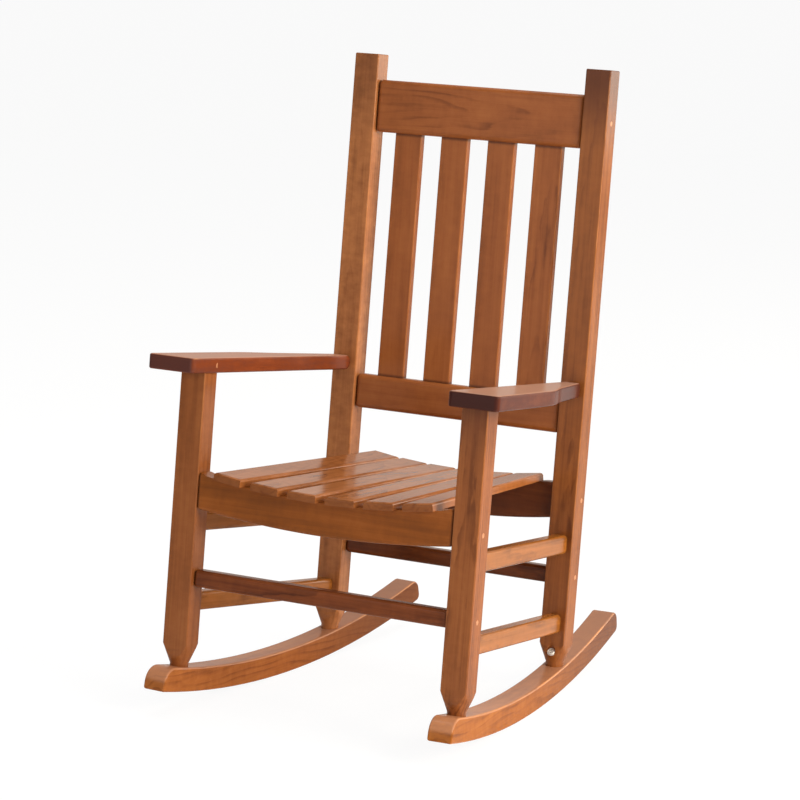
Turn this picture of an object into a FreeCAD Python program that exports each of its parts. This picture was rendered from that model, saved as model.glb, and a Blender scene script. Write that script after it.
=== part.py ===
import FreeCAD, Part
import math
import os

from FreeCAD import Placement, Rotation, Vector

os.makedirs("parts", exist_ok=True)

# Child's slatted rocking chair, in millimetres.
# Every piece is first laid out with the legs upright: X to the sitter's left hand, Y to the back, Z up,
# Y = 0 and Z = 0 where the rockers' arcs are lowest. The last step tips the whole chair back to the
# lean at which it balances on its rockers, and puts the origin under the middle of its box.

# ---- driving dimensions: frame ----
front_clear_width = 335.0
back_clear_width = 283.0
leg_width = 33.0
leg_depth = 28.0
leg_spacing = 327.5
post_height = 777.0
leg_edge_radius = 1.6

# ---- driving dimensions: rockers ----
rocker_radius = 1267.0
rocker_height = 29.0
rocker_width = 30.0
rocker_front_reach = 49.0
rocker_rear_reach = 196.0
front_leg_before_low_point = 125.0
rocker_nose_radius = 20.0
rocker_tail_radius = 13.0
rocker_toe_radius = 3.0
rocker_heel_radius = 8.0
rocker_edge_radius = 2.4

# ---- driving dimensions: turned feet of the legs ----
neck_diameter = 22.0
neck_length = 4.0
cone_height = 25.5
foot_tenon_length = 18.0

# ---- driving dimensions: arms ----
overall_width = 455.0
arm_thickness = 18.0
arm_underside_height = 388.0
arm_fall = 8.8
arm_front_overhang = 33.5
arm_inner_reach = 3.0
arm_end_width = 19.5
arm_end_inset = 7.5
arm_step_start = 120.0
arm_step_length = 90.0
arm_step_depth = 15.0
arm_step_ease = 0.45
arm_corner_radius = 6.0
arm_edge_radius = 2.4
arm_end_radius = 8.5
arm_tenon_length = 14.0
arm_tenon_width = 12.0
arm_tenon_height = 9.0
leg_tenon_diameter = 16.0
leg_tenon_height = 11.0

# ---- driving dimensions: back ----
back_setback = 4.0
back_rail_thickness = 20.0
crest_bottom = 680.2
crest_height = 65.3
lower_rail_bottom = 332.0
lower_rail_height = 43.0
back_rail_radius = 6.0
back_slat_count = 4
back_slat_width = 36.8
back_slat_thickness = 10.0
back_slat_pitch = 64.0
back_slat_radius = 1.8
slat_mortise_depth = 10.0

# ---- driving dimensions: seat ----
front_rail_thickness = 24.0
rear_rail_thickness = 20.0
seat_rail_bottom = 227.5
seat_rail_height = 43.5
seat_rail_bow = 11.0
seat_rail_radius = 4.0
front_rail_setback = 0.5
rear_rail_setback = 8.0
front_bed_height = 255.5
rear_bed_height = 261.0
front_horn_width = 3.0
rear_horn_width = 14.0
horn_slope_width = 8.0
front_scoop_radius = 1020.0
seat_slat_count = 6
seat_slat_width = 37.5
seat_slat_thickness = 9.5
seat_slat_length = 358.0
seat_slat_front_pitch = 49.6
seat_slat_rear_pitch = 40.2
seat_slat_overhang = 7.0
seat_slat_radius = 3.5

# ---- driving dimensions: stretchers ----
stretcher_thickness = 19.0
stretcher_radius = 4.5
side_stretcher_height = 23.0
upper_front_height = 209.0
upper_rear_height = 198.0
lower_front_height = 113.0
lower_rear_height = 99.5
cross_stretcher_height = 20.5
front_stretcher_height = 144.0
rear_stretcher_height = 156.2
front_stretcher_setback = 5.5
rear_stretcher_setback = 8.5

# ---- driving dimensions: joints and fasteners ----
# A mortise is deeper than its tenon, and a pocket wider than its head, by this many clearances.
joint_clearance = 0.1
blind_end_gap = 3
pocket_gap = 4
rail_tenon_length = 16.0
rail_tenon_thickness = 10.0
rail_tenon_shoulder = 6.0
side_tenon_length = 13.0
side_tenon_thickness = 9.0
pin_diameter = 6.0
pin_depth_in_rail = 12.0
front_rail_pin_rise = -5.5
rear_rail_pin_rise = 2.5
arm_pin_length = 26.0
arm_pin_behind_leg_axis = 4.0
screw_shank_diameter = 4.5
screw_head_diameter = 10.4
screw_head_height = 3.0
screw_length = 40.0
screw_slope = 45.0
screw_above_rocker = 19.0
screw_pocket_depth = 3.5
seat_screw_diameter = 3.5
seat_screw_head_diameter = 7.0
seat_screw_head_height = 2.4
seat_screw_length = 26.0
seat_screw_bite = 6.0
head_round_share = 0.45
recess_share = 0.6
recess_width = 1.3
recess_depth = 1.6

wood_density = 0.65
steel_density = 7.85

# Cutting shapes reach this far past what they cut; the other two tell equal places and directions.
cut_overrun = 1.0
same_place = 0.01
same_direction = 1e-6

# ---- derived places ----
front_axis_y = -front_leg_before_low_point
rear_axis_y = front_axis_y + leg_spacing
front_axis_x = front_clear_width / 2 + leg_width / 2
rear_axis_x = back_clear_width / 2 + leg_width / 2
leg_front_y = front_axis_y - leg_depth / 2
leg_back_y = front_axis_y + leg_depth / 2
post_front_y = rear_axis_y - leg_depth / 2
side_slope = (rear_axis_x - front_axis_x) / leg_spacing
side_angle = math.atan(-side_slope)
slat_center_offset = (seat_slat_count - 1) / 2
X_AXIS = Vector(1, 0, 0)
Z_AXIS = Vector(0, 0, 1)
ORIGIN = Vector(0, 0, 0)


def side_line_x(y):
    """X of the line through the front leg's and the rear post's axes."""
    return front_axis_x + side_slope * (y - front_axis_y)


def box(x_range, y_range, z_range):
    low = Vector(x_range[0], y_range[0], z_range[0])
    return Part.makeBox(
        x_range[1] - x_range[0], y_range[1] - y_range[0], z_range[1] - z_range[0], low
    )


def edges_along(shape, axis):
    """Straight edges that run along an axis."""
    found = []
    for edge in shape.Edges:
        if not isinstance(edge.Curve, Part.Line):
            continue
        if 1 - abs(edge.tangentAt(edge.FirstParameter).dot(axis)) < same_direction:
            found.append(edge)
    return found


def outline_edges(shape, normal, offset):
    """Edges of the flat faces that lie at an offset along a normal."""
    found = []
    for face in shape.Faces:
        if not isinstance(face.Surface, Part.Plane):
            continue
        if 1 - abs(face.normalAt(0, 0).dot(normal)) > same_direction:
            continue
        if abs(face.CenterOfMass.dot(normal) - offset) < same_place:
            found.extend(face.Edges)
    return found


def extruded(points, direction):
    """Prism over a closed polygon."""
    return Part.Face(Part.makePolygon(points + [points[0]])).extrude(direction)


def mirrored(shape):
    return shape.mirror(ORIGIN, X_AXIS)


def cylinder(diameter, start, direction, length):
    return Part.makeCylinder(diameter / 2, length, start, direction)


def rocker_top(y):
    """Height of the rocker's upper arc at a place along the chair."""
    along = y / math.cos(side_angle)
    return rocker_radius - math.sqrt((rocker_radius - rocker_height) ** 2 - along**2)


# ---- side frames ----


def turned_leg(axis_x, axis_y, top):
    """Square leg whose foot is turned to a cone and a round tenon."""
    seat = rocker_top(axis_y)
    bottom = seat - foot_tenon_length
    neck_top = seat + neck_length
    neck_radius = neck_diameter / 2
    corner_radius = math.hypot(leg_width, leg_depth) / 2
    wide_radius = leg_width
    cone_slope = cone_height / (corner_radius - neck_radius)
    wide_height = neck_top + (wide_radius - neck_radius) * cone_slope
    half_profile = [
        Vector(0, 0, bottom),
        Vector(neck_radius, 0, bottom),
        Vector(neck_radius, 0, neck_top),
        Vector(wide_radius, 0, wide_height),
        Vector(wide_radius, 0, top + leg_width),
        Vector(0, 0, top + leg_width),
    ]
    outline = Part.Face(Part.makePolygon(half_profile + [half_profile[0]]))
    turned = outline.revolve(ORIGIN, Z_AXIS, 360)
    square = box((-leg_width / 2, leg_width / 2), (-leg_depth / 2, leg_depth / 2), (bottom, top))
    eased = edges_along(square, Z_AXIS) + outline_edges(square, Z_AXIS, top)
    square = square.makeFillet(leg_edge_radius, eased)
    leg = square.common(turned)
    leg.translate(Vector(axis_x, axis_y, 0))
    return leg


def rocker_corner(radius, angle):
    return Vector(0, radius * math.sin(angle), rocker_radius - radius * math.cos(angle))


def rocker():
    """Right rocker: a board sawn to two arcs about one centre."""
    inner_radius = rocker_radius - rocker_height
    front = math.asin((front_axis_y - rocker_front_reach) / math.cos(side_angle) / rocker_radius)
    rear = math.asin((rear_axis_y + rocker_rear_reach) / math.cos(side_angle) / rocker_radius)
    middle = (front + rear) / 2
    bottom_front = rocker_corner(rocker_radius, front)
    bottom_rear = rocker_corner(rocker_radius, rear)
    top_front = rocker_corner(inner_radius, front)
    top_rear = rocker_corner(inner_radius, rear)
    outline = Part.Wire(
        [
            Part.Arc(bottom_front, rocker_corner(rocker_radius, middle), bottom_rear).toShape(),
            Part.makeLine(bottom_rear, top_rear),
            Part.Arc(top_rear, rocker_corner(inner_radius, middle), top_front).toShape(),
            Part.makeLine(top_front, bottom_front),
        ]
    )
    board = Part.Face(outline).extrude(Vector(rocker_width, 0, 0))
    board.translate(Vector(-rocker_width / 2, 0, 0))
    for corner, radius in (
        (top_front, rocker_nose_radius),
        (top_rear, rocker_tail_radius),
        (bottom_front, rocker_toe_radius),
        (bottom_rear, rocker_heel_radius),
    ):
        corners = edges_along(board, X_AXIS)
        nearest = min(corners, key=lambda edge: edge.CenterOfMass.distanceToPoint(corner))
        board = board.makeFillet(radius, [nearest])
    for side in (-1, 1):
        board = board.makeFillet(rocker_edge_radius, outline_edges(board, X_AXIS, side * rocker_width / 2))
    board.rotate(ORIGIN, Z_AXIS, math.degrees(side_angle))
    board.translate(Vector(side_line_x(0), 0, 0))
    for y in (front_axis_y, rear_axis_y):
        hole_floor = Vector(side_line_x(y), y, rocker_top(y) - foot_tenon_length)
        hole = cylinder(neck_diameter + 2 * joint_clearance, hole_floor, Z_AXIS, rocker_height)
        board = board.cut(hole)
    return board


# ---- arms ----

arm_front_y = leg_front_y - arm_front_overhang
arm_slope = arm_fall / (post_front_y - front_axis_y)
arm_outer_front_x = overall_width / 2
arm_inner_front_x = front_clear_width / 2 - arm_inner_reach
arm_end_inner_x = back_clear_width / 2 + arm_end_inset
arm_end_outer_x = arm_end_inner_x + arm_end_width
arm_end_middle_x = (arm_end_inner_x + arm_end_outer_x) / 2


def arm_underside(y):
    return arm_underside_height - arm_slope * (y - front_axis_y)


def above_plane(height_at, y_low, y_high, tall):
    """Block whose underside follows a sloping line and whose top is level."""
    wide = overall_width
    points = [
        Vector(-wide, y_low, height_at(y_low)),
        Vector(-wide, y_high, height_at(y_high)),
        Vector(-wide, y_high, height_at(y_high) + tall),
        Vector(-wide, y_low, height_at(y_low) + tall),
    ]
    return extruded(points, Vector(2 * wide, 0, 0))


def arm_board():
    """Right arm board: outer edge stepped in on an S curve, rear end rounded over and under."""
    step_y = front_axis_y + arm_step_start
    step_end_y = step_y + arm_step_length
    step = Vector(arm_outer_front_x + side_slope * (step_y - arm_front_y), step_y, 0)
    step_end = Vector(step.x + side_slope * arm_step_length - arm_step_depth, step_end_y, 0)
    end_outer = Vector(arm_end_outer_x, post_front_y, 0)
    end_inner = Vector(arm_end_inner_x, post_front_y, 0)
    front_inner = Vector(arm_inner_front_x, arm_front_y, 0)
    front_outer = Vector(arm_outer_front_x, arm_front_y, 0)
    ease_length = arm_step_length * arm_step_ease
    lead = Vector(side_slope, 1, 0) * ease_length
    tail = (end_outer - step_end).normalize() * ease_length
    curve = Part.BezierCurve()
    curve.setPoles([step, step + lead, step_end - tail, step_end])
    plan = Part.Wire(
        [
            Part.makeLine(front_inner, front_outer),
            Part.makeLine(front_outer, step),
            curve.toShape(),
            Part.makeLine(step_end, end_outer),
            Part.makeLine(end_outer, end_inner),
            Part.makeLine(end_inner, front_inner),
        ]
    )
    column = Part.Face(plan).extrude(Vector(0, 0, 2 * arm_underside_height))
    slab_front_y = arm_front_y - cut_overrun
    slab_back_y = post_front_y + cut_overrun
    board = column.common(above_plane(arm_underside, slab_front_y, slab_back_y, arm_thickness))
    board = board.makeFillet(arm_end_radius, level_edges(board, post_front_y))
    board = board.makeFillet(arm_corner_radius, upright_edges(board, arm_front_y))
    return board.makeFillet(arm_edge_radius, top_rim(board))


def level_edges(board, y):
    """Edges across a board at a place along the chair."""
    return [edge for edge in edges_along(board, X_AXIS) if abs(edge.CenterOfMass.y - y) < same_place]


def upright_edges(board, y):
    """Upright edges of a board at a place along the chair."""
    return [edge for edge in edges_along(board, Z_AXIS) if abs(edge.CenterOfMass.y - y) < same_place]


def top_rim(board):
    """Sharp rim of the arm's top; a rounding of it runs on past the arm's rear end to the underside."""
    rim_end = post_front_y - arm_end_radius - cut_overrun
    rim = []
    for face in board.Faces:
        center = face.CenterOfMass
        level = arm_underside(center.y) + arm_thickness
        if isinstance(face.Surface, Part.Plane) and abs(center.z - level) < same_place:
            rim.extend(edge for edge in face.Edges if edge.CenterOfMass.y < rim_end)
    return rim


def arm_tenon(clearance):
    middle_z = arm_underside(post_front_y) + arm_thickness / 2
    half_width = arm_tenon_width / 2 + clearance
    half_height = arm_tenon_height / 2 + clearance
    return box(
        (arm_end_middle_x - half_width, arm_end_middle_x + half_width),
        (post_front_y - arm_end_radius, post_front_y + arm_tenon_length + blind_end_gap * clearance),
        (middle_z - half_height, middle_z + half_height),
    )


def leg_tenon(clearance):
    start = Vector(front_axis_x, front_axis_y, arm_underside_height - leg_width / 2)
    height = leg_width / 2 + leg_tenon_height + blind_end_gap * clearance
    return cylinder(leg_tenon_diameter + 2 * clearance, start, Z_AXIS, height)


def arm_pin(clearance):
    """Pin from the arm's inner edge into the leg's tenon."""
    pin_y = front_axis_y + arm_pin_behind_leg_axis
    inner_edge_slope = (arm_end_inner_x - arm_inner_front_x) / (post_front_y - arm_front_y)
    start_x = arm_inner_front_x + inner_edge_slope * (pin_y - arm_front_y)
    start = Vector(start_x, pin_y, arm_underside(pin_y) + arm_thickness / 2)
    return cylinder(pin_diameter + 2 * clearance, start, X_AXIS, arm_pin_length + clearance)


# ---- stretchers and rails ----


def oblique_bar(start, end, width, height, overrun):
    """Bar of constant section in planes across Y, run past both ends."""
    reach = (end - start) * (overrun / (end.y - start.y))
    first = start - reach
    corners = [
        first + Vector(-width / 2, 0, -height / 2),
        first + Vector(width / 2, 0, -height / 2),
        first + Vector(width / 2, 0, height / 2),
        first + Vector(-width / 2, 0, height / 2),
    ]
    return extruded(corners, end - start + reach * 2)


def side_stretcher_ends(front_height, rear_height):
    start = Vector(side_line_x(leg_back_y), leg_back_y, front_height)
    end = Vector(side_line_x(post_front_y), post_front_y, rear_height)
    return start, end


def side_tenons(front_height, rear_height, clearance):
    start, end = side_stretcher_ends(front_height, rear_height)
    return oblique_bar(
        start,
        end,
        side_tenon_thickness + 2 * clearance,
        side_stretcher_height - 2 * rail_tenon_shoulder + 2 * clearance,
        side_tenon_length + blind_end_gap * clearance,
    )


def side_stretcher(front_height, rear_height):
    start, end = side_stretcher_ends(front_height, rear_height)
    body = oblique_bar(start, end, stretcher_thickness, side_stretcher_height, 0)
    body = body.makeFillet(stretcher_radius, body.Edges)
    return body.fuse(side_tenons(front_height, rear_height, 0)).removeSplitter()


class CrossRail:
    """Rail between two legs or posts, with tenons in both."""

    def __init__(self, clear_width, front_y, thickness, bottom, height, radius, pin_rise=0):
        self.half = clear_width / 2
        self.front_y = front_y
        self.thickness = thickness
        self.bottom = bottom
        self.top = bottom + height
        self.radius = radius
        self.pin_height = bottom + height / 2 + pin_rise

    def body(self):
        bar = box(
            (-self.half, self.half), (self.front_y, self.front_y + self.thickness), (self.bottom, self.top)
        )
        return bar.makeFillet(self.radius, bar.Edges)

    def whole(self):
        """The rail with its tenons."""
        return self.body().fuse(self.tenons(0)).removeSplitter()

    def tenons(self, clearance):
        middle_y = self.front_y + self.thickness / 2
        reach = self.half + rail_tenon_length + blind_end_gap * clearance
        half_thickness = rail_tenon_thickness / 2 + clearance
        return box(
            (-reach, reach),
            (middle_y - half_thickness, middle_y + half_thickness),
            (self.bottom + rail_tenon_shoulder - clearance, self.top - rail_tenon_shoulder + clearance),
        )

    def pins(self, clearance):
        """Pins from the legs' outer faces, through the tenons, into the rail."""
        outer = self.half + leg_width
        length = leg_width + pin_depth_in_rail
        middle_y = self.front_y + self.thickness / 2
        start = Vector(outer - length - clearance, middle_y, self.pin_height)
        right = cylinder(pin_diameter + 2 * clearance, start, X_AXIS, length + clearance)
        return [right, mirrored(right)]


class SeatRail(CrossRail):
    """Cross rail with a bowed underside and a scooped bed for the slats."""

    def __init__(self, clear_width, front_y, thickness, pin_rise, bed_height, scoop_radius, horn_width):
        super().__init__(
            clear_width,
            front_y,
            thickness,
            seat_rail_bottom,
            seat_rail_height,
            seat_rail_radius,
            pin_rise,
        )
        self.bed_height = bed_height
        self.scoop_radius = scoop_radius
        self.horn_width = horn_width

    def bed(self, x):
        """Height of the scooped bed at a place across the chair."""
        return self.bed_height + self.scoop_radius - math.sqrt(self.scoop_radius**2 - x**2)

    def body(self):
        back = Vector(0, self.thickness, 0)
        left_low = Vector(-self.half, self.front_y, self.bottom)
        right_low = Vector(self.half, self.front_y, self.bottom)
        middle_low = Vector(0, self.front_y, self.bottom - seat_rail_bow)
        left_high = Vector(-self.half, self.front_y, self.top)
        right_high = Vector(self.half, self.front_y, self.top)
        outline = Part.Wire(
            [
                Part.Arc(left_low, middle_low, right_low).toShape(),
                Part.makeLine(right_low, right_high),
                Part.makeLine(right_high, left_high),
                Part.makeLine(left_high, left_low),
            ]
        )
        blank = Part.Face(outline).extrude(back)
        return blank.makeFillet(self.radius, blank.Edges)

    def whole(self):
        return super().whole().cut(self.scoop())

    def scoop(self):
        """What is sawn out of the rail's top between its two horns."""
        horn_x = self.half - self.horn_width
        foot_x = horn_x - horn_slope_width
        y = self.front_y - cut_overrun
        above = self.top + self.radius
        left_foot = Vector(-foot_x, y, self.bed(foot_x))
        right_foot = Vector(foot_x, y, self.bed(foot_x))
        right_horn = Vector(horn_x, y, self.top)
        left_horn = Vector(-horn_x, y, self.top)
        right_above = Vector(horn_x, y, above)
        left_above = Vector(-horn_x, y, above)
        outline = Part.Wire(
            [
                Part.Arc(left_foot, Vector(0, y, self.bed_height), right_foot).toShape(),
                Part.makeLine(right_foot, right_horn),
                Part.makeLine(right_horn, right_above),
                Part.makeLine(right_above, left_above),
                Part.makeLine(left_above, left_horn),
                Part.makeLine(left_horn, left_foot),
            ]
        )
        return Part.Face(outline).extrude(Vector(0, self.thickness + 2 * cut_overrun, 0))


front_rail_y = leg_front_y + front_rail_setback
rear_rail_y = post_front_y + rear_rail_setback
scoop_ratio = seat_slat_rear_pitch / seat_slat_front_pitch
crest = CrossRail(
    back_clear_width,
    post_front_y + back_setback,
    back_rail_thickness,
    crest_bottom,
    crest_height,
    back_rail_radius,
)
lower_rail = CrossRail(
    back_clear_width,
    post_front_y + back_setback,
    back_rail_thickness,
    lower_rail_bottom,
    lower_rail_height,
    back_rail_radius,
)
front_rail = SeatRail(
    front_clear_width,
    front_rail_y,
    front_rail_thickness,
    front_rail_pin_rise,
    front_bed_height,
    front_scoop_radius,
    front_horn_width,
)
rear_rail = SeatRail(
    back_clear_width,
    rear_rail_y,
    rear_rail_thickness,
    rear_rail_pin_rise,
    rear_bed_height,
    front_scoop_radius * scoop_ratio,
    rear_horn_width,
)
front_stretcher = CrossRail(
    front_clear_width,
    leg_front_y + front_stretcher_setback,
    stretcher_thickness,
    front_stretcher_height - cross_stretcher_height / 2,
    cross_stretcher_height,
    stretcher_radius,
)
rear_stretcher = CrossRail(
    back_clear_width,
    post_front_y + rear_stretcher_setback,
    stretcher_thickness,
    rear_stretcher_height - cross_stretcher_height / 2,
    cross_stretcher_height,
    stretcher_radius,
)

# ---- seat slats ----


class SeatSlat:
    """One seat board, laid from the front rail's bed to the rear rail's bed."""

    def __init__(self, number):
        place = number - slat_center_offset
        front_x = place * seat_slat_front_pitch
        rear_x = place * seat_slat_rear_pitch
        front_y = front_rail.front_y + front_rail.thickness / 2
        rear_y = rear_rail.front_y + rear_rail.thickness / 2
        self.front = Vector(front_x, front_y, front_rail.bed(front_x))
        self.rear = Vector(rear_x, rear_y, rear_rail.bed(rear_x))
        tilt = math.asin(front_x / front_scoop_radius)
        self.along = (self.rear - self.front).normalize()
        across = Vector(math.cos(tilt), 0, math.sin(tilt))
        self.normal = across.cross(self.along).normalize()
        self.across = self.along.cross(self.normal)
        self.front_reach = front_rail.thickness / 2 + seat_slat_overhang

    def placed(self, shape):
        """Move a shape from the slat's own axes to its place."""
        shape.Placement = Placement(self.front, Rotation(self.across, self.along, self.normal, "ZXY"))
        return shape

    def board(self):
        blank = box(
            (-seat_slat_width / 2, seat_slat_width / 2),
            (-self.front_reach, seat_slat_length - self.front_reach),
            (0, seat_slat_thickness),
        )
        blank = blank.makeFillet(seat_slat_radius, outline_edges(blank, Z_AXIS, seat_slat_thickness))
        return self.placed(blank)

    def bed_cutter(self):
        """Flat seat that the slat needs in both rails."""
        half = seat_slat_width / 2 + joint_clearance
        reach = seat_slat_length
        return self.placed(box((-half, half), (-reach, 2 * reach), (0, 3 * seat_slat_thickness)))

    def screw_places(self):
        """Where the two screws cross the slat's underside."""
        return [(self.front, front_rail), (self.rear, rear_rail)]


seat_slats = [SeatSlat(number) for number in range(seat_slat_count)]


def cross_recess(top, direction, side, size):
    """Cross-shaped driver recess in a screw's head."""
    other = direction.cross(side)
    bars = []
    for long_way, short_way in ((side, other), (other, side)):
        corner = top - long_way * (size / 2) - short_way * (recess_width / 2)
        points = [
            corner,
            corner + long_way * size,
            corner + long_way * size + short_way * recess_width,
            corner + short_way * recess_width,
        ]
        bars.append(extruded(points, direction * recess_depth))
    return bars[0].fuse(bars[1])


def screw(seat, direction, side, length, shank, head, head_height):
    """Round-head screw whose head bears on a seat point."""
    top = seat - direction * head_height
    body = cylinder(head, top, direction, head_height)
    rim = outline_edges(body, direction, top.dot(direction))
    body = body.makeFillet(head_height * head_round_share, rim)
    body = body.fuse(cylinder(shank, seat, direction, length))
    return body.cut(cross_recess(top, direction, side, head * recess_share))


def seat_screw_seat(point, slat):
    return point - slat.normal * (seat_screw_length - seat_screw_bite)


def seat_screw_hole(point, slat):
    """Stepped hole through a rail for one seat screw."""
    seat = seat_screw_seat(point, slat)
    shank_length = seat_screw_length + joint_clearance
    shank = cylinder(seat_screw_diameter + 2 * joint_clearance, seat, slat.normal, shank_length)
    pocket_diameter = seat_screw_head_diameter + pocket_gap * joint_clearance
    pocket = cylinder(pocket_diameter, seat, slat.normal * -1, seat_rail_height + seat_rail_bow)
    return shank.fuse(pocket)


def seat_screw(point, slat):
    return screw(
        seat_screw_seat(point, slat),
        slat.normal,
        slat.across,
        seat_screw_length,
        seat_screw_diameter,
        seat_screw_head_diameter,
        seat_screw_head_height,
    )


# ---- screws that lock the legs in the rockers ----


def rocker_screw_seat(axis_x, axis_y, facing):
    """Bearing point and direction; facing is -1 on a front face, 1 on a back face."""
    slope = math.radians(screw_slope)
    direction = Vector(0, -facing * math.cos(slope), -math.sin(slope))
    surface = Vector(axis_x, axis_y + facing * leg_depth / 2, rocker_top(axis_y) + screw_above_rocker)
    return surface + direction * screw_pocket_depth, direction


def rocker_screw(axis_x, axis_y, facing):
    seat, direction = rocker_screw_seat(axis_x, axis_y, facing)
    return screw(
        seat, direction, X_AXIS, screw_length, screw_shank_diameter, screw_head_diameter, screw_head_height
    )


def rocker_screw_hole(axis_x, axis_y, facing):
    seat, direction = rocker_screw_seat(axis_x, axis_y, facing)
    shank_length = screw_length + joint_clearance
    shank = cylinder(screw_shank_diameter + 2 * joint_clearance, seat, direction, shank_length)
    pocket_diameter = screw_head_diameter + pocket_gap * joint_clearance
    pocket = cylinder(pocket_diameter, seat, direction * -1, leg_depth)
    return shank.fuse(pocket)


# The left post's screw is driven from behind and the right post's from the front.
screw_places = {
    "front_leg_right": (front_axis_x, front_axis_y, 1),
    "front_leg_left": (-front_axis_x, front_axis_y, 1),
    "rear_post_right": (rear_axis_x, rear_axis_y, -1),
    "rear_post_left": (-rear_axis_x, rear_axis_y, 1),
}

# ---- back slats ----


def back_slat(number, clearance):
    center_x = (number - (back_slat_count - 1) / 2) * back_slat_pitch
    center_y = post_front_y + back_setback + back_rail_thickness / 2
    half_width = back_slat_width / 2 + clearance
    half_thickness = back_slat_thickness / 2 + clearance
    end_height = crest.bottom + slat_mortise_depth + blind_end_gap * clearance
    bar = box(
        (center_x - half_width, center_x + half_width),
        (center_y - half_thickness, center_y + half_thickness),
        (lower_rail.top - slat_mortise_depth, end_height),
    )
    return bar.makeFillet(back_slat_radius, edges_along(bar, Z_AXIS))


# ---- the pieces, legs upright ----


def both_sides(tools):
    """The same cutters on the right and on the left."""
    return tools + [mirrored(tool) for tool in tools]


def cut_all(shape, tools):
    for tool in tools:
        shape = shape.cut(tool)
    return shape


def side_mortises():
    return both_sides(
        [
            side_tenons(upper_front_height, upper_rear_height, joint_clearance),
            side_tenons(lower_front_height, lower_rear_height, joint_clearance),
        ]
    )


def cross_joint_cutters(rails):
    cutters = []
    for rail in rails:
        cutters.append(rail.tenons(joint_clearance))
        cutters.extend(rail.pins(joint_clearance))
    return cutters


def front_leg(name):
    leg = turned_leg(front_axis_x, front_axis_y, arm_underside_height + leg_width / 2)
    above_arm = above_plane(arm_underside, leg_front_y - cut_overrun, leg_back_y + cut_overrun, leg_width)
    leg = leg.cut(above_arm)
    leg = leg.fuse(leg_tenon(0)).removeSplitter()
    leg = leg.cut(arm_pin(joint_clearance))
    if name.endswith("left"):
        leg = mirrored(leg)
    leg = cut_all(leg, side_mortises() + cross_joint_cutters([front_rail, front_stretcher]))
    return leg.cut(rocker_screw_hole(*screw_places[name]))


def rear_post(name):
    post = turned_leg(rear_axis_x, rear_axis_y, post_height)
    post = post.cut(arm_tenon(joint_clearance))
    if name.endswith("left"):
        post = mirrored(post)
    post = cut_all(post, side_mortises() + cross_joint_cutters([crest, rear_rail, rear_stretcher]))
    post = post.cut(lower_rail.tenons(joint_clearance))
    return post.cut(rocker_screw_hole(*screw_places[name]))


def armrest():
    board = arm_board().fuse(arm_tenon(0)).removeSplitter()
    board = board.cut(leg_tenon(joint_clearance))
    return board.cut(arm_pin(joint_clearance))


def pinned(rail):
    """Rail with its tenons, bored for its pins."""
    return cut_all(rail.whole(), rail.pins(joint_clearance))


def bedded(rail):
    """Seat rail with flat seats and screw holes for the slats, all cut at once."""
    tools = []
    for slat in seat_slats:
        tools.append(slat.bed_cutter())
        for point, owner in slat.screw_places():
            if owner is rail:
                tools.append(seat_screw_hole(point, slat))
    return pinned(rail).cut(tools)


pieces = {}
for side in ("left", "right"):
    place = mirrored if side == "left" else lambda shape: shape
    rocker_board = place(rocker())
    for leg_name in ("front_leg_" + side, "rear_post_" + side):
        rocker_board = rocker_board.cut(rocker_screw_hole(*screw_places[leg_name]))
    pieces["rocker_" + side] = rocker_board
    pieces["front_leg_" + side] = front_leg("front_leg_" + side)
    pieces["rear_post_" + side] = rear_post("rear_post_" + side)
    pieces["armrest_" + side] = place(armrest())
    pieces["side_stretcher_upper_" + side] = place(side_stretcher(upper_front_height, upper_rear_height))
    pieces["side_stretcher_lower_" + side] = place(side_stretcher(lower_front_height, lower_rear_height))

slat_mortises = [back_slat(number, joint_clearance) for number in range(back_slat_count)]
pieces["crest_rail"] = cut_all(pinned(crest), slat_mortises)
pieces["lower_back_rail"] = cut_all(lower_rail.whole(), slat_mortises)
pieces["seat_rail_front"] = bedded(front_rail)
pieces["seat_rail_rear"] = bedded(rear_rail)
pieces["front_stretcher"] = pinned(front_stretcher)
pieces["rear_stretcher"] = pinned(rear_stretcher)
for number in range(back_slat_count):
    pieces["back_slat_%d" % (number + 1)] = back_slat(number, 0)

seat_screws = []
for number, slat in enumerate(seat_slats):
    board = slat.board()
    for point, owner in slat.screw_places():
        board = board.cut(seat_screw_hole(point, slat))
        seat_screws.append(seat_screw(point, slat))
    pieces["seat_slat_%d" % (number + 1)] = board

right_arm_pin = arm_pin(0)
pieces["crest_pins"] = Part.makeCompound(crest.pins(0))
pieces["seat_rail_pins"] = Part.makeCompound(front_rail.pins(0) + rear_rail.pins(0))
pieces["stretcher_pins"] = Part.makeCompound(front_stretcher.pins(0) + rear_stretcher.pins(0))
pieces["arm_pins"] = Part.makeCompound([right_arm_pin, mirrored(right_arm_pin)])
pieces["rocker_screws"] = Part.makeCompound([rocker_screw(*place) for place in screw_places.values()])
pieces["seat_screws"] = Part.makeCompound(seat_screws)

# ---- tip back to the balanced lean and stand on the floor ----


def mass_moment(shape, density):
    """Mass, and mass times place, of a shape's solids."""
    mass = 0
    moment = Vector(0, 0, 0)
    for solid in shape.Solids:
        mass += solid.Volume * density
        moment += solid.CenterOfMass * (solid.Volume * density)
    return mass, moment


total_mass = 0
total_moment = Vector(0, 0, 0)
for name, shape in pieces.items():
    mass, moment = mass_moment(shape, steel_density if "screws" in name else wood_density)
    total_mass += mass
    total_moment += moment
mass_center = total_moment * (1 / total_mass)
lean = math.degrees(math.atan2(mass_center.y, rocker_radius - mass_center.z))
tip_back = Placement(Vector(0, 0, 0), Rotation(X_AXIS, -lean), Vector(0, 0, rocker_radius))
for shape in pieces.values():
    shape.Placement = tip_back.multiply(shape.Placement)

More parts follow.
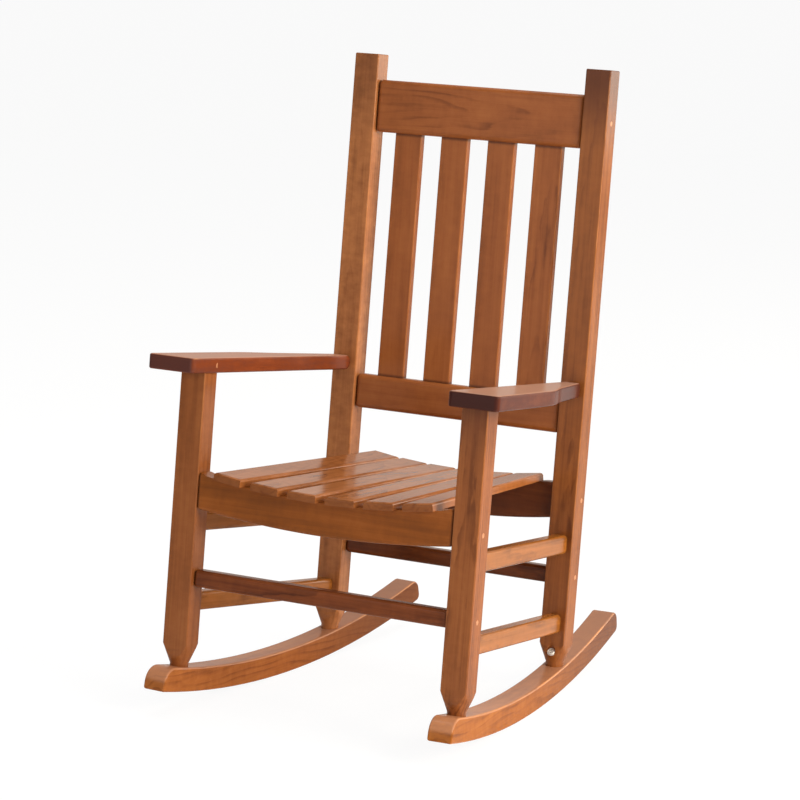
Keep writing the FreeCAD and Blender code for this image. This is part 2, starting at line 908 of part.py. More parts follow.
whole_box = Part.makeCompound(list(pieces.values())).optimalBoundingBox()
to_origin = Vector(0, -(whole_box.YMin + whole_box.YMax) / 2, -whole_box.ZMin)
for name, shape in pieces.items():
    shape.translate(to_origin)
    shape.exportStep("parts/%s.step" % name)
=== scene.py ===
import math
import random

import bpy
from mathutils import Matrix, Vector


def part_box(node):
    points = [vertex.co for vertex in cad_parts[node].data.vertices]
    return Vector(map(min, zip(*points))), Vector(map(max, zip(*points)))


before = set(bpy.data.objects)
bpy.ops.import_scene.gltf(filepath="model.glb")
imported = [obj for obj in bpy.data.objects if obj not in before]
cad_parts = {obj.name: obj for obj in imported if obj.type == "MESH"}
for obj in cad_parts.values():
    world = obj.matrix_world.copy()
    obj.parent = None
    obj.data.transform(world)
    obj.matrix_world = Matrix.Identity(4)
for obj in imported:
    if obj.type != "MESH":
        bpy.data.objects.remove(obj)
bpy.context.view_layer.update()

# Child's slatted rocking chair, stained red-brown and varnished.
# Metres, in the imported model's own frame: X to the right seen from the front, Y to the back, Z up.
# Grain, wear and the painted highlights, sheen and shade are laid out in millimetres along a board's own
# length, width and thickness.

MILLIMETRE = 0.001
ORIGIN = (0, 0, 0)
LEAN = math.radians(4.94)
TOE_IN = math.radians(4.5)
ROCKER_RADIUS = 1.267
ROCKER_HEIGHT = 0.029
ROCKER_WIDTH = 0.030
CONTACT_Y = -0.0056

# Directions on the chair as it leans: up its legs, to its back and to its right. The boards of its
# sides run towards the back with some toe-in, and the rockers' height is plumb.
UP = Vector((0, math.sin(LEAN), math.cos(LEAN)))
BACK = Vector((0, math.cos(LEAN), -math.sin(LEAN)))
RIGHT = Vector((1, 0, 0))
PLUMB = Vector((0, 0, 1))
TOWARDS_BACK = {
    "left": Vector((math.sin(TOE_IN), math.cos(TOE_IN), 0)),
    "right": Vector((-math.sin(TOE_IN), math.cos(TOE_IN), 0)),
}

# How much of a board's end hides in its mortise, in millimetres.
RAIL_TENON = 16.0
SIDE_TENON = 13.0
SLAT_TENON = 10.0


def srgb(code):
    """Linear colour from a #rrggbb code."""
    channels = []
    for start in (1, 3, 5):
        value = int(code[start:start + 2], 16) / 255
        channels.append(value / 12.92 if value <= 0.04045 else ((value + 0.055) / 1.055) ** 2.4)
    return (*channels, 1.0)


def colour_stops(stops):
    return [(place, srgb(code)) for place, code in stops]


# ---- node helpers ----


class Nodes:
    """Short calls for the nodes of one material or of the world."""

    def __init__(self, owner):
        self.tree = owner.node_tree

    def add(self, kind, **settings):
        node = self.tree.nodes.new(kind)
        for key, value in settings.items():
            setattr(node, key, value)
        return node

    def link(self, output, target):
        self.tree.links.new(output, target)

    def feed(self, socket, value):
        if isinstance(value, bpy.types.NodeSocket):
            self.link(value, socket)
        else:
            socket.default_value = value

    def feed_all(self, node, values):
        """Feed a node's inputs by their names."""
        for name, value in values.items():
            self.feed(node.inputs[name], value)

    def math(self, operation, first, second=0.0, third=0.0, clamp=False):
        node = self.add("ShaderNodeMath", operation=operation, use_clamp=clamp)
        self.feed(node.inputs[0], first)
        self.feed(node.inputs[1], second)
        self.feed(node.inputs[2], third)
        return node.outputs[0]

    def vector(self, operation, first, second=ORIGIN):
        node = self.add("ShaderNodeVectorMath", operation=operation)
        self.feed(node.inputs[0], first)
        self.feed(node.inputs[1], second)
        return node.outputs[0]

    def length(self, vector):
        node = self.add("ShaderNodeVectorMath", operation="LENGTH")
        self.feed(node.inputs[0], vector)
        return node.outputs["Value"]

    def split(self, vector):
        node = self.add("ShaderNodeSeparateXYZ")
        self.link(vector, node.inputs[0])
        return node.outputs

    def join(self, x, y, z):
        node = self.add("ShaderNodeCombineXYZ")
        for socket, value in zip(node.inputs, (x, y, z)):
            self.feed(socket, value)
        return node.outputs[0]

    def noise(self, place, offset, stretch, detail=2.0, roughness=0.5, output="Fac"):
        """Noise whose grain size is set per axis, in features per millimetre."""
        scaled = self.vector("MULTIPLY", place, stretch)
        node = self.add("ShaderNodeTexNoise")
        moved = self.vector("ADD", scaled, offset)
        self.feed_all(node, {"Vector": moved, "Scale": 1.0, "Detail": detail, "Roughness": roughness})
        return node.outputs[output]

    def span(self, value, low, high, to_low=0.0, to_high=1.0):
        """Smooth step from to_low to to_high while the value goes from low to high."""
        node = self.add("ShaderNodeMapRange", interpolation_type="SMOOTHSTEP")
        self.feed_all(node, {"Value": value, "From Min": low, "From Max": high})
        self.feed_all(node, {"To Min": to_low, "To Max": to_high})
        return node.outputs[0]

    def ramp(self, value, stops):
        node = self.add("ShaderNodeValToRGB")
        elements = node.color_ramp.elements
        while len(elements) < len(stops):
            elements.new(0.5)
        for element, (place, colour) in zip(elements, stops):
            element.position = place
            element.color = colour
        self.feed(node.inputs[0], value)
        return node.outputs[0]

    def mix(self, share, first, second):
        node = self.add("ShaderNodeMix", data_type="RGBA")
        self.feed_all(node, {"Factor": share, "A": first, "B": second})
        return node.outputs["Result"]

    def bump(self, height, strength, depth):
        """Small relief; its depth is in metres."""
        node = self.add("ShaderNodeBump")
        self.feed_all(node, {"Height": height, "Strength": strength, "Distance": depth})
        return node.outputs[0]

    def local(self, axes, origin=ORIGIN, output="Object"):
        """Coordinates in millimetres along three axes, such as a board's length, width and thickness."""
        coordinates = self.add("ShaderNodeTexCoord")
        mapping = self.add("ShaderNodeMapping", vector_type="TEXTURE")
        turn = Matrix(axes).transposed().to_euler()
        self.feed_all(mapping, {"Vector": coordinates.outputs[output], "Location": origin})
        self.feed_all(mapping, {"Rotation": turn, "Scale": (MILLIMETRE,) * 3})
        return mapping.outputs[0]

    def facing(self, axes):
        """Which way the surface faces, seen along three axes."""
        return self.split(self.vector("NORMALIZE", self.local(axes, output="Normal")))


def new_finish(name):
    """A new material with its nodes and its shader."""
    material = bpy.data.materials.new(name)
    material.use_nodes = True
    return material, Nodes(material), material.node_tree.nodes["Principled BSDF"]


# ---- stained and varnished wood ----

# Light, middle and dark tone of the stain on each batch of boards, and at which tone of the grain each
# of the three shows.
# The batches also paint light and shade: the front seat rail and front stretcher ('rail', 'front_bar')
# are darker for the shade low on the front, 'under' is a shaded copy for the rear rail and rear
# stretcher under the seat, and the rockers' stains are lighter for the bright light on their sides.
STAINS = {
    "back": ("#aa6634", "#95542a", "#6e3a1c"),
    "frame": ("#9f5f2e", "#884e26", "#603317"),
    "leg": ("#a56436", "#8c5029", "#65361a"),
    "frame_left": ("#bd7a47", "#a1643a", "#754425"),
    "arm_left": ("#944a26", "#78391e", "#56322c"),
    "arm_right": ("#6c3820", "#53281c", "#3c1f1b"),
    "seat": ("#b26e40", "#9a5c30", "#703c1c"),
    "rail": ("#a8602a", "#8a4a18", "#623410"),
    "rocker_left": ("#b87036", "#a15d2b", "#7a411e"),
    "rocker_right": ("#b46c2a", "#9d591e", "#773e14"),
    "stretcher": ("#ae6830", "#955822", "#6c3b13"),
    "under": ("#80441f", "#643215", "#421d0b"),
    "front_bar": ("#96502a", "#7a3e1d", "#4e240f"),
}
STAIN_STOPS = (0.1, 0.5, 0.95)

# Colour the stain darkens to at a board's far end: painted shade under the arms on the front legs.
DARK_END_COLOUR = "#4a2313"
# Pale colour of the painted sheen on the top faces.
TOP_SHEEN_COLOUR = "#dba88c"
# Bare wood of the worn edges, which also paints their highlights.
BARE_AND_HIGHLIT_EDGE = "#cf8a55"
# Pooled stain in the corners at the joints, also painting their contact shade.
POOLED_STAIN_AND_SHADE = "#3c1d10"

# How each kind of board is sawn out of the log: the axis' depth under the face in millimetres, its slope
# along the board, the rings' spacing and sway, and how strong rings, streaks and cross figure show.
CUTS = {
    "plain": dict(depth=24.0, slope=0.03, spacing=9.0, sway=16, rings=0.14, streaks=0.50, figure=0.30),
    "streaky": dict(depth=60.0, slope=0.02, spacing=4.2, sway=8, rings=0.34, streaks=0.85, figure=0.25),
    "flame": dict(depth=3.0, slope=0.10, spacing=8.5, sway=22, rings=0.30, streaks=0.30, figure=0.35),
    "curly": dict(depth=40.0, slope=0.03, spacing=6.0, sway=12, rings=0.20, streaks=0.60, figure=0.65),
    "wavy": dict(depth=30.0, slope=0.07, spacing=7.5, sway=20, rings=0.30, streaks=0.50, figure=0.45),
}

# The wood's noise layers: features per millimetre along the board, across it and through it.
GRAIN = {
    "streaks": dict(stretch=(0.0035, 0.16, 0.16), detail=4.0, roughness=0.62),
    "fibres": dict(stretch=(0.016, 0.9, 0.9), detail=4.0, roughness=0.62),
    "clouds": dict(stretch=(0.009, 0.03, 0.03)),
    "figure": dict(stretch=(0.10, 0.06, 0.06), detail=3.0, roughness=0.6),
    "pores": dict(stretch=(0.06, 2.4, 2.4)),
}
GRAIN_OFFSET = 90
PORE_EDGE = (0.6, 0.75)

# How strongly each layer pulls the tone to the stain's dark, where the cut doesn't say.
MIDDLE_TONE = 0.5
BOARD_VARIATION = 0.05
FIBRE_TONE = 0.26
CLOUD_TONE = 0.60
PORE_TONE = 0.08

# Growth rings: their bends and wobble, the patches that show them strongly, how far the log's axis lies
# to the side, and the late wood within one ring's width.
RING_BENDS = dict(stretch=(0.007, 0.03, 0.03), detail=1.0)
RING_WOBBLE = dict(stretch=(0.03, 0.12, 0.12))
RING_PATCHES = dict(stretch=(0.015, 0.06, 0.06), detail=1.0)
RING_OFFSET = 50
RING_NUMBERS = 90
WOBBLE_DEPTH = 4.0
LOG_AXIS_ASIDE = 9
LATE_WOOD_RISE = (0.45, 0.88)
LATE_WOOD_FALL = (0.9, 1.0)
FAINTEST_RING = 0.3
PATCH_EDGE = (0.35, 0.6)
RINGS_BETWEEN_PATCHES = 0.2

# Wear and painted light: how the stain changes over faces and edges, in millimetres where it is a width.
# This holds a painted sheen on the top faces, painted highlights along the worn edges, darker far ends
# that paint the shade under the arms, and pooled stain with painted contact shade in the corners.
END_FACE = (0.55, 0.95)
SHEEN_BAND = 0.35
DARKENING_END = 10
EDGE_WIDTHS = (0.3, 2.0)
EDGE_PATCHES = dict(stretch=(0.03, 0.03, 0.03), detail=3.0)
EDGE_PATCH = (0.3, 0.62)
EDGE_OFFSET = 50
CORNER_WIDTHS = (4.5, 0.5)
CORNER_STAIN_AND_SHADE = 0.7

VARNISH = {"Specular IOR Level": 0.0, "Coat IOR": 1.3, "Coat Roughness": 0.2}
SMOOTHEST_VARNISH = 0.30
FIBRE_ROUGHNESS = 0.16
CLOUD_ROUGHNESS = 0.12
PORE_RELIEF = -0.7
RING_RELIEF = 0.5
WOOD_BUMP = (0.28, 0.00025)


class Board:
    """Where a piece lies: its middle, its three directions and its half sizes in millimetres."""

    END_SLICE = 0.002

    def __init__(self, node, along, across):
        points = [vertex.co.copy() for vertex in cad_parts[node].data.vertices]
        places = [point.dot(along) for point in points]
        low = min(places) + self.END_SLICE
        high = max(places) - self.END_SLICE
        first = [point for point, place in zip(points, places) if place <= low]
        last = [point for point, place in zip(points, places) if place >= high]
        start = sum(first, Vector()) / len(first)
        end = sum(last, Vector()) / len(last)
        along = (end - start).normalized()
        across = (across - along * across.dot(along)).normalized()
        self.axes = (along, across, along.cross(across))
        self.half = []
        self.middle = Vector()
        for axis in self.axes:
            reach = [point.dot(axis) for point in points]
            self.half.append((max(reach) - min(reach)) / 2 / MILLIMETRE)
            self.middle += axis * ((max(reach) + min(reach)) / 2)


def random_offset(draw, reach):
    """A place of its own in the noise for each board."""
    return tuple(draw.uniform(-reach, reach) for _ in range(3))


def growth_rings(nodes, place, draw, cut):
    """Thin dark late-wood lines where a log's rings meet the sawn faces."""
    offset = random_offset(draw, RING_OFFSET)
    bends = nodes.noise(place, offset, output="Color", **RING_BENDS)
    centred = nodes.vector("SUBTRACT", bends, (0.5, 0.5, 0.5))
    sway = nodes.vector("MULTIPLY", centred, (0, cut["sway"], cut["sway"]))
    x, y, z = nodes.split(nodes.vector("ADD", place, sway))
    below = nodes.math("ADD", nodes.math("MULTIPLY_ADD", x, cut["slope"], cut["depth"]), z)
    beside = nodes.math("ADD", y, draw.uniform(-LOG_AXIS_ASIDE, LOG_AXIS_ASIDE))
    radius = nodes.length(nodes.join(0.0, beside, below))
    radius = nodes.math("MULTIPLY_ADD", nodes.noise(place, offset, **RING_WOBBLE), WOBBLE_DEPTH, radius)
    turns = nodes.math("DIVIDE", radius, cut["spacing"])
    phase = nodes.math("FRACT", turns)
    rise = nodes.span(phase, *LATE_WOOD_RISE)
    fall = nodes.span(phase, *LATE_WOOD_FALL, 1.0, 0.0)
    late_wood = nodes.math("MULTIPLY", rise, fall)

    number = nodes.add("ShaderNodeTexWhiteNoise", noise_dimensions="1D")
    ring = nodes.math("ADD", nodes.math("FLOOR", turns), draw.uniform(0, RING_NUMBERS))
    nodes.link(ring, number.inputs["W"])
    strength = nodes.math("MULTIPLY_ADD", number.outputs["Value"], 1 - FAINTEST_RING, FAINTEST_RING)
    patches = nodes.noise(place, offset, **RING_PATCHES)
    patches = nodes.span(patches, *PATCH_EDGE, RINGS_BETWEEN_PATCHES, 1.0)
    return nodes.math("MULTIPLY", late_wood, nodes.math("MULTIPLY", strength, patches))


def grain_tone(nodes, draw, cut, grain, rings, pores):
    """The wood's tone, from 0 where the stain is lightest to 1 where it is darkest."""
    tone = MIDDLE_TONE + draw.uniform(-BOARD_VARIATION, BOARD_VARIATION)
    shares = (
        ("streaks", cut["streaks"]),
        ("fibres", FIBRE_TONE),
        ("clouds", CLOUD_TONE),
        ("figure", cut["figure"]),
    )
    for layer, share in shares:
        tone = nodes.math("ADD", tone, nodes.math("MULTIPLY_ADD", grain[layer], share, -share / 2))
    tone = nodes.math("MULTIPLY_ADD", rings, cut["rings"], tone)
    return nodes.math("MULTIPLY_ADD", pores, PORE_TONE, tone, clamp=True)


def end_grain(nodes, board, share):
    """Faces across the grain, which drink more stain."""
    end_on = nodes.math("ABSOLUTE", nodes.facing(board.axes)[0])
    return nodes.span(end_on, *END_FACE, 0.0, share)


def painted_top_sheen(nodes, sheen_from, share):
    """Painted sheen: faces that look up are mixed towards a pale colour, standing in for the varnish's
    sheen on the top faces.
    """
    return nodes.span(nodes.facing((RIGHT, BACK, UP))[2], sheen_from, sheen_from + SHEEN_BAND, 0.0, share)


def edge_distances(nodes, board, place):
    """Millimetres to the board's nearest faces, across it and through it."""
    _, across, through = nodes.split(place)
    return [nodes.math("SUBTRACT", half, nodes.math("ABSOLUTE", value))
            for value, half in ((across, board.half[1]), (through, board.half[2]))]


def arc_edge_distances(nodes, board, centre):
    """The same for a board sawn to the rockers' arc around a centre: to its arcs and to its sides."""
    x, y, z = nodes.split(nodes.local(board.axes, centre))
    mid_radius = (ROCKER_RADIUS - ROCKER_HEIGHT / 2) / MILLIMETRE
    rise = nodes.math("SUBTRACT", nodes.length(nodes.join(x, 0.0, z)), mid_radius)
    return [nodes.math("SUBTRACT", size / 2 / MILLIMETRE, nodes.math("ABSOLUTE", value))
            for value, size in ((rise, ROCKER_HEIGHT), (y, ROCKER_WIDTH))]


def rubbed_and_highlit_edges(nodes, distances, place, draw, share):
    """Patches along a board's long edges, where both distances are small, with the stain rubbed thin and
    painted lighter as a highlight.
    """
    line = nodes.span(nodes.math("MAXIMUM", *distances), *EDGE_WIDTHS, 1.0, 0.0)
    offset = (draw.uniform(-EDGE_OFFSET, EDGE_OFFSET), 0.0, 0.0)
    patches = nodes.span(nodes.noise(place, offset, **EDGE_PATCHES), *EDGE_PATCH)
    return nodes.math("MULTIPLY", nodes.math("MULTIPLY", line, patches), share)


def wood(name, board, stain, kind, wear_and_highlight=0.3, top_sheen=0.0, sheen_from=0.6, ends=0.5,
         end_darkening=0.0, darkening_reach=110, tenon=None, coat=0.8, arc_centre=None):
    """Stained and varnished hardwood, its grain along the board.

    The stain is darker on the ends' grain and darkens over the last darkening_reach millimetres of the
    board's far end, painted shade under the arms on the front legs. The top faces carry a painted sheen,
    and the edges are worn and painted lighter as highlights. The stain is darker in the corners where a
    board with tenons meets its posts: pooled stain together with painted contact shade.
    """
    cut = CUTS[kind]
    draw = random.Random(name)
    material, nodes, shader = new_finish(name + "_wood")
    place = nodes.local(board.axes, board.middle)
    along = nodes.split(place)[0]

    rings = growth_rings(nodes, place, draw, cut)
    grain = {}
    for layer, look in GRAIN.items():
        grain[layer] = nodes.noise(place, random_offset(draw, GRAIN_OFFSET), **look)
    pores = nodes.span(grain["pores"], *PORE_EDGE)
    tone = grain_tone(nodes, draw, cut, grain, rings, pores)
    stops = colour_stops(zip(STAIN_STOPS, STAINS[stain]))
    dark = stops[-1][1]
    colour = nodes.ramp(tone, stops)

    colour = nodes.mix(end_grain(nodes, board, ends), colour, dark)
    # Painted shade: the stain darkens towards the board's far end, for the shade under the arms on the
    # front legs; on the posts and rockers it simply darkens towards the top and the back.
    far_end_darkening = nodes.span(along, board.half[0] - darkening_reach, board.half[0] - DARKENING_END, 0.0, end_darkening)
    colour = nodes.mix(far_end_darkening, colour, srgb(DARK_END_COLOUR))
    # Painted sheen: the top faces are mixed towards a pale colour.
    colour = nodes.mix(painted_top_sheen(nodes, sheen_from, top_sheen), colour, srgb(TOP_SHEEN_COLOUR))
    if arc_centre is None:
        distances = edge_distances(nodes, board, place)
    else:
        distances = arc_edge_distances(nodes, board, arc_centre)
    # Worn edges, painted lighter also as highlights along them.
    colour = nodes.mix(rubbed_and_highlit_edges(nodes, distances, place, draw, wear_and_highlight), colour, srgb(BARE_AND_HIGHLIT_EDGE))
    # Pooled stain and painted contact shade where a board with tenons meets its posts.
    if tenon is not None:
        start, end = (board.half[0] - tenon - width for width in CORNER_WIDTHS)
        corner = nodes.span(nodes.math("ABSOLUTE", along), start, end, 0.0, CORNER_STAIN_AND_SHADE)
        colour = nodes.mix(corner, colour, srgb(POOLED_STAIN_AND_SHADE))

    gloss = nodes.math("MULTIPLY_ADD", grain["fibres"], FIBRE_ROUGHNESS, SMOOTHEST_VARNISH)
    gloss = nodes.math("MULTIPLY_ADD", grain["clouds"], CLOUD_ROUGHNESS, gloss)
    relief = nodes.math("MULTIPLY_ADD", pores, PORE_RELIEF, grain["fibres"])
    relief = nodes.math("MULTIPLY_ADD", rings, RING_RELIEF, relief)
    bump = nodes.bump(relief, *WOOD_BUMP)
    nodes.feed_all(shader, {"Base Color": colour, "Roughness": gloss, "Normal": bump})
    nodes.feed_all(shader, {**VARNISH, "Coat Weight": coat})
    return material


# ---- pins and screws ----

# A roughness is given as what the pattern adds at most and what it starts from, a bump as its strength
# and its depth in metres.
PIN_STOPS = ((0.2, "#c98c5c"), (0.55, "#b07146"), (0.9, "#7c4a2a"))
PIN_PORES = dict(offset=(4, 9, 2), stretch=(0.05, 2.2, 2.2), detail=3.0)
PIN_BANDS = dict(offset=(1, 5, 8), stretch=(0.02, 0.35, 0.6), detail=1.0)
PIN_PALEST = -0.05
PIN_PORE_TONE = 0.6
PIN_BAND_TONE = 0.5
PIN_ROUGHNESS = (0.2, 0.3)
PIN_BUMP = (0.2, 0.0002)
STEEL_STOPS = ((0.3, "#f2eee9"), (0.7, "#cfcac4"))
STEEL_MOTTLE = dict(offset=(3, 1, 7), stretch=(0.9, 0.9, 0.9), detail=4.0)
STEEL_METALLIC = 0.4
STEEL_ROUGHNESS = (0.2, 0.45)
STEEL_BUMP = (0.15, 0.0001)


def pin_wood():
    """Pale end grain of the round pins, with fine rings and pores."""
    material, nodes, shader = new_finish("pin_end_grain")
    place = nodes.local((RIGHT, BACK, UP))
    pores = nodes.noise(place, **PIN_PORES)
    bands = nodes.noise(place, **PIN_BANDS)
    tone = nodes.math("MULTIPLY_ADD", pores, PIN_PORE_TONE, PIN_PALEST)
    tone = nodes.math("MULTIPLY_ADD", bands, PIN_BAND_TONE, tone, clamp=True)
    nodes.feed_all(shader, {
        "Base Color": nodes.ramp(tone, colour_stops(PIN_STOPS)),
        "Roughness": nodes.math("MULTIPLY_ADD", pores, *PIN_ROUGHNESS),
        "Normal": nodes.bump(pores, *PIN_BUMP),
    })
    return material


def screw_steel():
    """Zinc-plated steel, slightly mottled."""
    material, nodes, shader = new_finish("zinc_plated_steel")
    mottle = nodes.noise(nodes.local((RIGHT, BACK, UP)), **STEEL_MOTTLE)
    nodes.feed_all(shader, {
        "Base Color": nodes.ramp(mottle, colour_stops(STEEL_STOPS)),
        "Metallic": STEEL_METALLIC,
        "Roughness": nodes.math("MULTIPLY_ADD", mottle, *STEEL_ROUGHNESS),
        "Normal": nodes.bump(mottle, *STEEL_BUMP),
    })
    return material


# ---- the pieces ----

WELD_DISTANCE = 0.000002
SHARP_EDGE = math.radians(50)

# Stain, cut, and how strongly the stain darkens towards the top, painted shade under the arm on the
# right front leg.
POST_LOOK = {
    "front_leg_left": ("leg", "plain", 0.0),
    "front_leg_right": ("leg", "streaky", 0.4),
    "rear_post_left": ("frame_left", "curly", 0.4),
    "rear_post_right": ("frame", "streaky", 0.8),
}

# Stain, cut, and how far the edges are worn and painted lighter as highlights.
RAIL_LOOK = {
    "crest_rail": ("back", "flame", 0.9),
    "lower_back_rail": ("back", "plain", 0.7),
    # Darker stains low down: painted shade on the front seat rail and front stretcher, and 'under' for
    # the rear rail and rear stretcher in the seat's shade.
    "seat_rail_front": ("rail", "plain", 0.3),
    "seat_rail_rear": ("under", "plain", 0.3),
    "front_stretcher": ("front_bar", "streaky", 0.3),
    "rear_stretcher": ("under", "streaky", 0.3),
}
BACK_SLAT_CUTS = ("plain", "plain", "plain", "streaky")
SEAT_SLATS = 6


def dress(node, material):
    """Give a node its material, and round shading between its sharp edges."""
    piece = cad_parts[node]
    for slot in piece.material_slots:
        slot.material = material
    if not piece.material_slots:
        piece.data.materials.append(material)
    piece.data.polygons.foreach_set("use_smooth", [True] * len(piece.data.polygons))
    weld = piece.modifiers.new("weld", "WELD")
    weld.merge_threshold = WELD_DISTANCE
    split = piece.modifiers.new("sharp_edges", "EDGE_SPLIT")
    split.split_angle = SHARP_EDGE
    weighted = piece.modifiers.new("flat_faces", "WEIGHTED_NORMAL")
    weighted.keep_sharp = True


def stain_posts(side):
    for name in ("front_leg_" + side, "rear_post_" + side):
        stain, kind, end_darkening = POST_LOOK[name]
        dress(name, wood(name, Board(name, UP, RIGHT), stain, kind, end_darkening=end_darkening))


def stain_side_stretchers(side):
    for name in ("side_stretcher_upper_" + side, "side_stretcher_lower_" + side):
        board = Board(name, TOWARDS_BACK[side], UP)
        dress(name, wood(name, board, "stretcher", "streaky", tenon=SIDE_TENON))


def stain_armrest(side):
    """The arms are handled most: worn edges with painted highlights, a painted sheen on the tops and
    less varnish.
    """
    name = "armrest_" + side
    board = Board(name, TOWARDS_BACK[side], RIGHT)
    dress(name, wood(name, board, "arm_" + side, "plain", wear_and_highlight=0.6, top_sheen=0.5, ends=0.9, coat=0.5))


def stain_rocker(side):
    """Sawn from a straight board, so its grain stays level while its edges follow the arc."""
    name = "rocker_" + side
    along = TOWARDS_BACK[side]
    board = Board(name, along, along.cross(PLUMB))
    board.axes = (along, along.cross(PLUMB), PLUMB)
    low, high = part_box(name)
    centre = Vector(((low.x + high.x) / 2, CONTACT_Y, ROCKER_RADIUS))
    # The rockers' lighter stains paint the bright light on their sides; they also get a painted sheen on
    # the tops, worn edges with painted highlights and a darker back end.
    dress(name, wood(name, board, name, "wavy", wear_and_highlight=0.8, top_sheen=0.3, sheen_from=0.1, ends=0.05,
                     end_darkening=0.7, darkening_reach=420, coat=0.6, arc_centre=centre))


def stain_rails():
    for name, (stain, kind, wear_and_highlight) in RAIL_LOOK.items():
        dress(name, wood(name, Board(name, RIGHT, UP), stain, kind, wear_and_highlight=wear_and_highlight, tenon=RAIL_TENON))


def stain_slats():
    for number, kind in enumerate(BACK_SLAT_CUTS, start=1):
        name = "back_slat_%d" % number
        dress(name, wood(name, Board(name, UP, RIGHT), "back", kind, tenon=SLAT_TENON))
    for number in range(1, SEAT_SLATS + 1):
        name = "seat_slat_%d" % number
        # Seat slats: strongly worn edges with painted highlights.
        dress(name, wood(name, Board(name, BACK, RIGHT), "seat", "wavy", wear_and_highlight=0.7))


def finish_fasteners():
    pins = pin_wood()
    for name in ("crest_pins", "seat_rail_pins", "stretcher_pins", "arm_pins"):
        dress(name, pins)
    steel = screw_steel()
    for name in ("rocker_screws", "seat_screws"):
        dress(name, steel)


# ---- floor, light and camera ----

WHITE = (1, 1, 1, 1)
FLOOR_SIZE = 160.0
FLOOR_PAINT = {"Base Color": (0.9, 0.9, 0.9, 1), "Roughness": 0.9, "Specular IOR Level": 0.1}
FLOOR_GLOW = 1.04
GLOW_SHARE = 0.88

# The room as the varnish mirrors it: a bright back wall, a dim front wall and a warm tint.
BACK_WALL = 1.0
FRONT_WALL = 0.12
WALL_TURN = (-0.5, 0.3)
WARM_WALL = (1.0, 0.86, 0.76, 1)
SKY_LEVEL = 0.32

CHAIR_MIDDLE = Vector((0.0, -0.05, 0.38))
SOFTBOXES = {
    "right_window": dict(place=(2.3, -0.4, 1.2), size=1.4, watts=78, colour=(1.0, 0.93, 0.79)),
    "back_window": dict(place=(2.1, 3.4, 1.3), size=2.0, watts=60, colour=(1.0, 0.92, 0.78)),
    "overhead": dict(place=(0.0, 0.5, 3.2), size=2.2, watts=45, colour=(1, 1, 1)),
    "front_fill": dict(place=(-0.8, -3.8, 1.4), size=2.4, watts=24, colour=(1, 1, 1)),
}

CAMERA_PLACE = (1.6215, -3.2306, 1.0084)
CAMERA_AZIMUTH = math.radians(26.973)
CAMERA_ELEVATION = math.radians(10.192)
CAMERA_ROLL = math.radians(2.124)
CAMERA_LENS = 136.38
SENSOR_WIDTH = 36.0


def lay_floor():
    """Pale floor that keeps the chair's shadow and is otherwise seen as white."""
    bpy.ops.object.select_all(action="DESELECT")
    bpy.ops.mesh.primitive_plane_add(size=FLOOR_SIZE, location=ORIGIN)
    plane = bpy.context.object
    plane.name = "floor"
    material, nodes, shader = new_finish("pale_floor")
    nodes.feed_all(shader, FLOOR_PAINT)
    glow = nodes.add("ShaderNodeEmission")
    nodes.feed_all(glow, {"Color": WHITE, "Strength": FLOOR_GLOW})
    path = nodes.add("ShaderNodeLightPath")
    blend = nodes.add("ShaderNodeMixShader")
    nodes.feed(blend.inputs[0], nodes.math("MULTIPLY", path.outputs["Is Camera Ray"], GLOW_SHARE))
    nodes.feed(blend.inputs[1], shader.outputs[0])
    nodes.feed(blend.inputs[2], glow.outputs[0])
    nodes.link(blend.outputs[0], material.node_tree.nodes["Material Output"].inputs["Surface"])
    plane.data.materials.append(material)


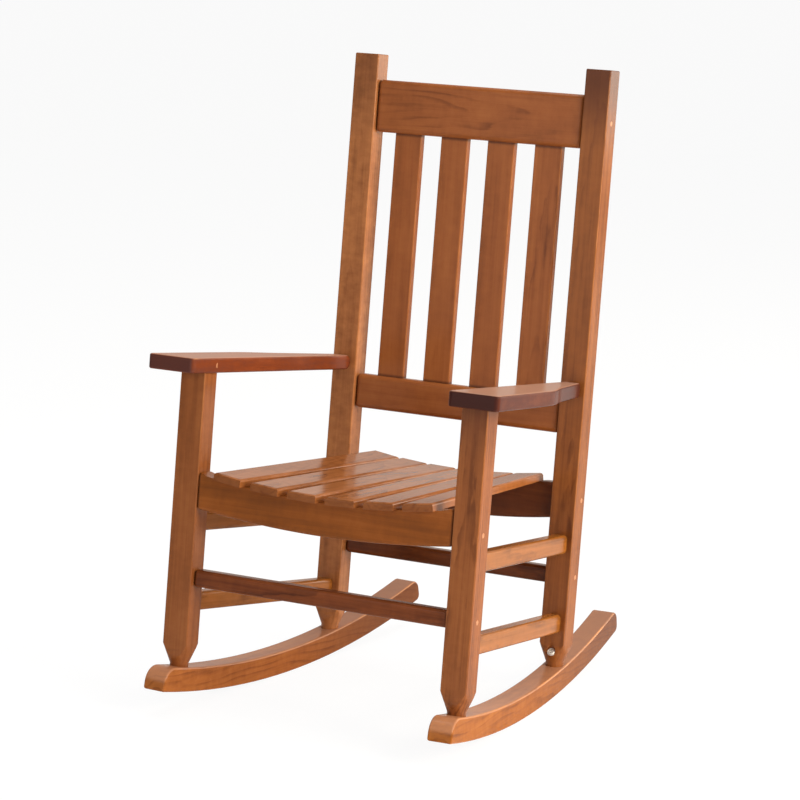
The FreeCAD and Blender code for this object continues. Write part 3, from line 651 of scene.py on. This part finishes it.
def light_room():
    """White room: seen as white, mirrored as a bright back wall and a dimmer front, lit evenly."""
    world = bpy.data.worlds.new("white_room")
    bpy.context.scene.world = world
    world.use_nodes = True
    nodes = Nodes(world)
    path = nodes.add("ShaderNodeLightPath")
    direction = nodes.add("ShaderNodeTexCoord")
    to_back = nodes.split(direction.outputs["Generated"])[1]
    wall = nodes.span(to_back, *WALL_TURN, FRONT_WALL, BACK_WALL)
    mirrored = nodes.math("MAXIMUM", path.outputs["Is Glossy Ray"], path.outputs["Is Transmission Ray"])
    level = nodes.math("MAXIMUM", nodes.math("MULTIPLY", mirrored, wall), SKY_LEVEL)
    level = nodes.math("MAXIMUM", level, path.outputs["Is Camera Ray"])
    background = world.node_tree.nodes["Background"]
    nodes.feed_all(background, {"Color": nodes.mix(mirrored, WHITE, WARM_WALL), "Strength": level})


def hang_softbox(name, place, size, watts, colour):
    """Square lamp that looks at the chair's middle."""
    data = bpy.data.lights.new(name, "AREA")
    data.shape = "SQUARE"
    data.size = size
    data.energy = watts
    data.color = colour
    lamp = bpy.data.objects.new(name, data)
    lamp.location = place
    lamp.visible_camera = False
    lamp.rotation_euler = (CHAIR_MIDDLE - Vector(place)).to_track_quat("-Z", "Y").to_euler()
    bpy.context.scene.collection.objects.link(lamp)


def set_camera():
    data = bpy.data.cameras.new("camera")
    data.lens = CAMERA_LENS
    data.sensor_width = SENSOR_WIDTH
    viewer = bpy.data.objects.new("camera", data)
    cos_a, sin_a = math.cos(CAMERA_AZIMUTH), math.sin(CAMERA_AZIMUTH)
    cos_e, sin_e = math.cos(CAMERA_ELEVATION), math.sin(CAMERA_ELEVATION)
    forward = Vector((-sin_a * cos_e, cos_a * cos_e, -sin_e))
    level = Vector((cos_a, sin_a, 0))
    upright = level.cross(forward)
    side = level * math.cos(CAMERA_ROLL) + upright * math.sin(CAMERA_ROLL)
    top = upright * math.cos(CAMERA_ROLL) - level * math.sin(CAMERA_ROLL)
    turn = Matrix((side, top, -forward)).transposed()
    viewer.matrix_world = Matrix.Translation(CAMERA_PLACE) @ turn.to_4x4()
    bpy.context.scene.collection.objects.link(viewer)
    bpy.context.scene.camera = viewer


for side in ("left", "right"):
    stain_posts(side)
    stain_side_stretchers(side)
    stain_armrest(side)
    stain_rocker(side)
stain_rails()
stain_slats()
finish_fasteners()

lay_floor()
light_room()
for name, look in SOFTBOXES.items():
    hang_softbox(name, **look)
set_camera()
bpy.context.scene.view_settings.view_transform = "Standard"
